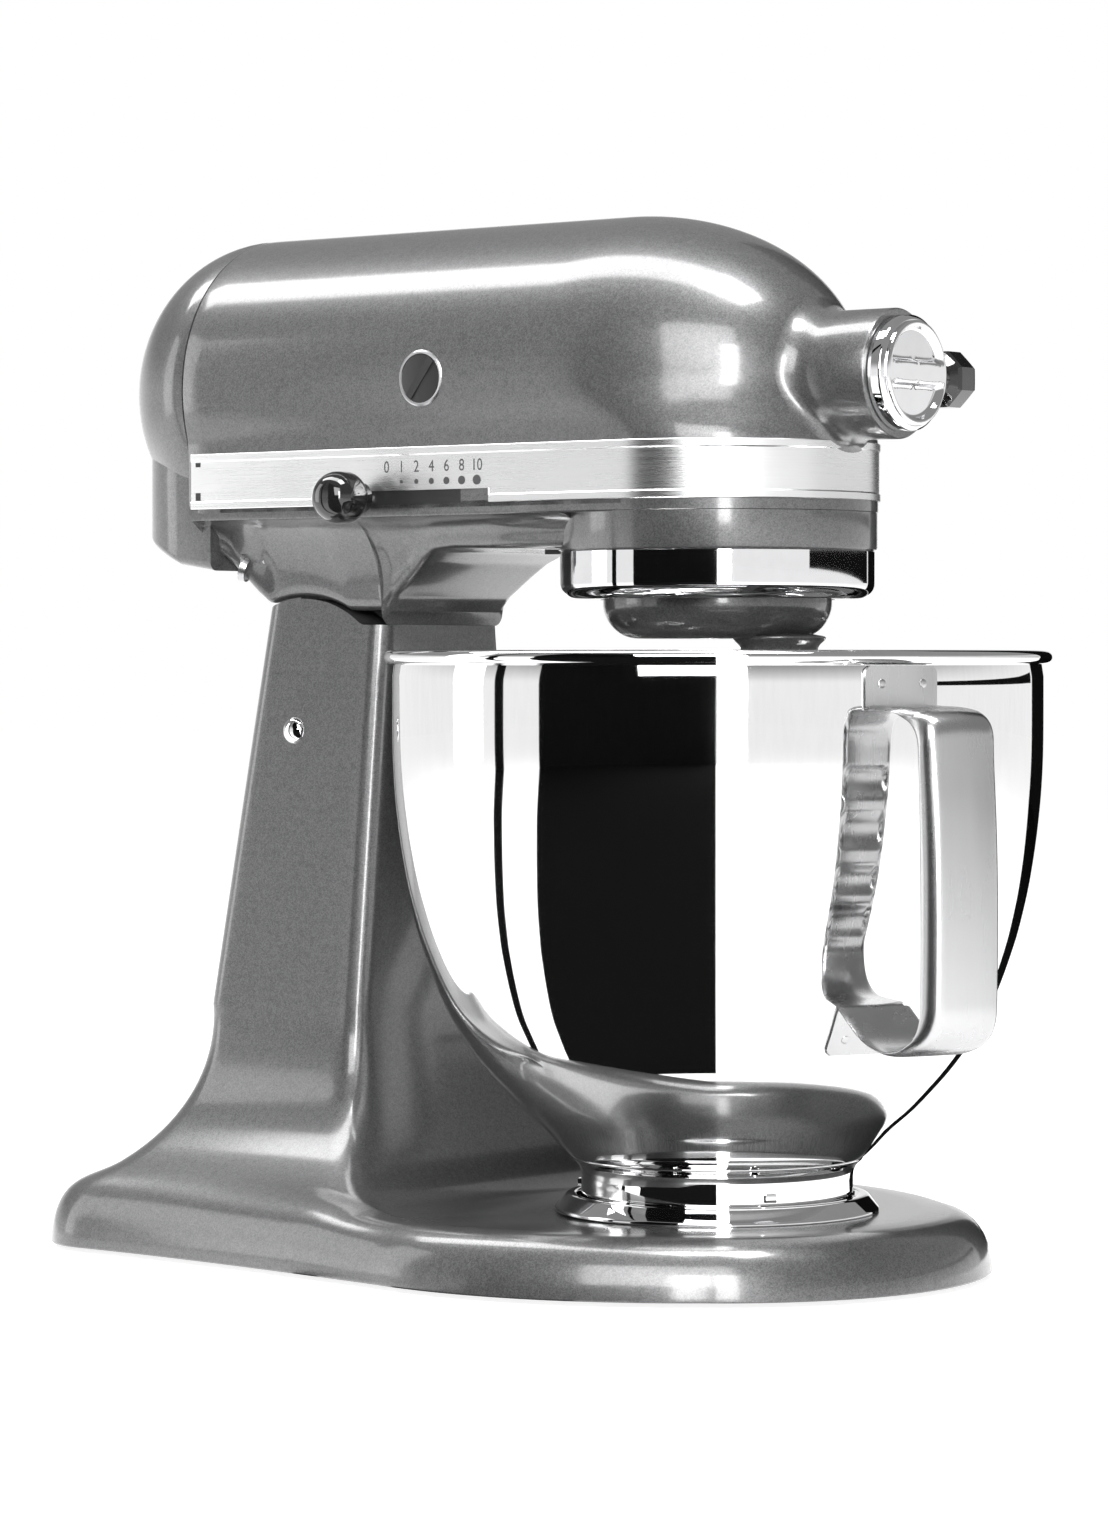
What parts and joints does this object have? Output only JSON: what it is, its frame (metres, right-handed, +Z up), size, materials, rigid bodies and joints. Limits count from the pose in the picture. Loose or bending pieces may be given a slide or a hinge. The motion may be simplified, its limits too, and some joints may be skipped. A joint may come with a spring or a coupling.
{
  "type": "stand mixer",
  "caption": "Tilt-head stand mixer with a bayonet steel bowl and side handle, planetary flat beater, speed lever and front attachment hub.",
  "frame": {"origin": "on the floor, on the common vertical axis of the bowl and the planetary head, at the middle of the foot under the bowl", "axes": "+X forward to the attachment hub, +Y to the side away from the speed lever, +Z up"},
  "size_m": [0.3803, 0.224, 0.3549],
  "materials": {
    "painted_body": "grey metallic enamel under clear coat",
    "rubber": "moulded rubber",
    "chrome": "bright plated",
    "screw_steel": "plain machined",
    "black_gloss": "glossy moulded",
    "black_matte": "satin moulded",
    "polished_steel": "mirror polished stainless",
    "satin_steel": "satin stainless",
    "brushed_trim": "brushed along its length with bright edges",
    "gear_steel": "machined and oiled",
    "bronze": "sintered bronze",
    "copper": "enamelled winding and copper bars",
    "cast_aluminium": "burnished casting"
  },
  "bodies": {
    "stand": {"base_casting": "painted_body", "rubber_feet": "rubber", "clamp_plate": "chrome", "clamp_screws": "screw_steel", "hinge_pin": "chrome", "pin_set_screw": "screw_steel", "height_screw": "screw_steel", "cord_gland": "rubber"},
    "head_lock": {"lock_slide": "screw_steel", "lock_knob": "black_gloss"},
    "bowl": {"bowl_shell": "polished_steel", "bowl_foot": "polished_steel", "handle_shell": "satin_steel", "handle_grip": "satin_steel"},
    "head": {"head_housing": "painted_body", "trim_band": "brushed_trim", "lower_gearcase": "painted_body", "hinge_bushes": "bronze", "cover_screws": "screw_steel", "drip_clip": "black_matte", "rear_cover": "painted_body", "ring_gear": "gear_steel", "centre_bearing": "bronze", "wheel_bracket": "cast_aluminium", "drip_ring": "chrome", "motor_field": "gear_steel", "field_coils": "copper", "motor_bracket": "cast_aluminium", "front_bearing": "bronze", "brush_caps": "black_matte", "brush_holders": "bronze", "carbon_brushes": "black_matte", "speed_board": "black_matte", "hub_ring": "chrome", "hub_bush": "bronze", "lever_post": "screw_steel"},
    "planetary": {"planetary_hub": "cast_aluminium", "centre_gear": "gear_steel", "centre_shaft": "gear_steel"},
    "agitator": {"agitator_shaft": "gear_steel", "agitator_pinion": "gear_steel", "shaft_pin": "gear_steel", "flat_beater": "cast_aluminium"},
    "wheel": {"drive_pinion": "gear_steel", "worm_wheel": "bronze"},
    "rotor": {"rotor_shaft": "gear_steel", "armature_core": "gear_steel", "commutator": "copper", "cooling_fan": "black_matte"},
    "hub_drive": {"hub_bevel": "gear_steel", "hub_socket": "gear_steel"},
    "hub_cap": {"hub_cap": "chrome"},
    "hub_screw": {"attachment_screw": "screw_steel"},
    "hub_knob": {"attachment_knob": "black_gloss"},
    "speed_lever": {"speed_lever": "screw_steel", "speed_knob": "black_gloss"}
  },
  "joints": [
    {"name": "head_tilt", "type": "hinge", "parent": "stand", "child": "head", "pos_m": [-0.1553, 0, 0.1808], "axis": [0, -1, 0], "range_deg": [0, 50]},
    {"name": "lock_slide", "type": "slide", "parent": "stand", "child": "head_lock", "axis": [1, 0, 0], "range_m": [0, 0.015]},
    {"name": "bowl_twist", "type": "hinge", "parent": "stand", "child": "bowl", "pos_m": [0, 0, 0.03], "axis": [0, 0, 1], "range_deg": [0, 25]},
    {"name": "planetary_spin", "type": "hinge", "parent": "head", "child": "planetary", "pos_m": [0, 0, 0.23], "axis": [0, 0, 1], "continuous": true},
    {"name": "agitator_spin", "type": "hinge", "parent": "planetary", "child": "agitator", "pos_m": [0.02625, 0, 0.2], "axis": [0, 0, 1], "continuous": true},
    {"name": "wheel_spin", "type": "hinge", "parent": "head", "child": "wheel", "pos_m": [-0.045, 0.024, 0.3], "axis": [0, 0, 1], "continuous": true},
    {"name": "rotor_spin", "type": "hinge", "parent": "head", "child": "rotor", "pos_m": [-0.1, 0, 0.3], "axis": [1, 0, 0], "continuous": true},
    {"name": "hub_spin", "type": "hinge", "parent": "head", "child": "hub_drive", "pos_m": [0.045, 0, 0.2985], "axis": [1, 0, 0], "continuous": true},
    {"name": "hub_cap_pull", "type": "slide", "parent": "head", "child": "hub_cap", "axis": [1, 0, 0], "range_m": [0, 0.02]},
    {"name": "screw_travel", "type": "slide", "parent": "head", "child": "hub_screw", "axis": [0, 1, 0], "range_m": [0, 0.005]},
    {"name": "knob_turn", "type": "hinge", "parent": "hub_screw", "child": "hub_knob", "pos_m": [0.064, 0.03, 0.2985], "axis": [0, 1, 0], "range_deg": [0, 1440]},
    {"name": "speed_select", "type": "hinge", "parent": "head", "child": "speed_lever", "pos_m": [-0.087, -0.002, 0.26], "axis": [0, 0, 1], "range_deg": [0, 40]}
  ],
  "couplings": [
    {"joint": "agitator_spin", "follows": "planetary_spin", "ratio": -2.3636},
    {"joint": "wheel_spin", "follows": "planetary_spin", "ratio": -4.6667},
    {"joint": "rotor_spin", "follows": "planetary_spin", "ratio": 56},
    {"joint": "hub_spin", "follows": "planetary_spin", "ratio": -1.5},
    {"joint": "knob_turn", "follows": "screw_travel", "rad_per_m": 5026.5}
  ]
}
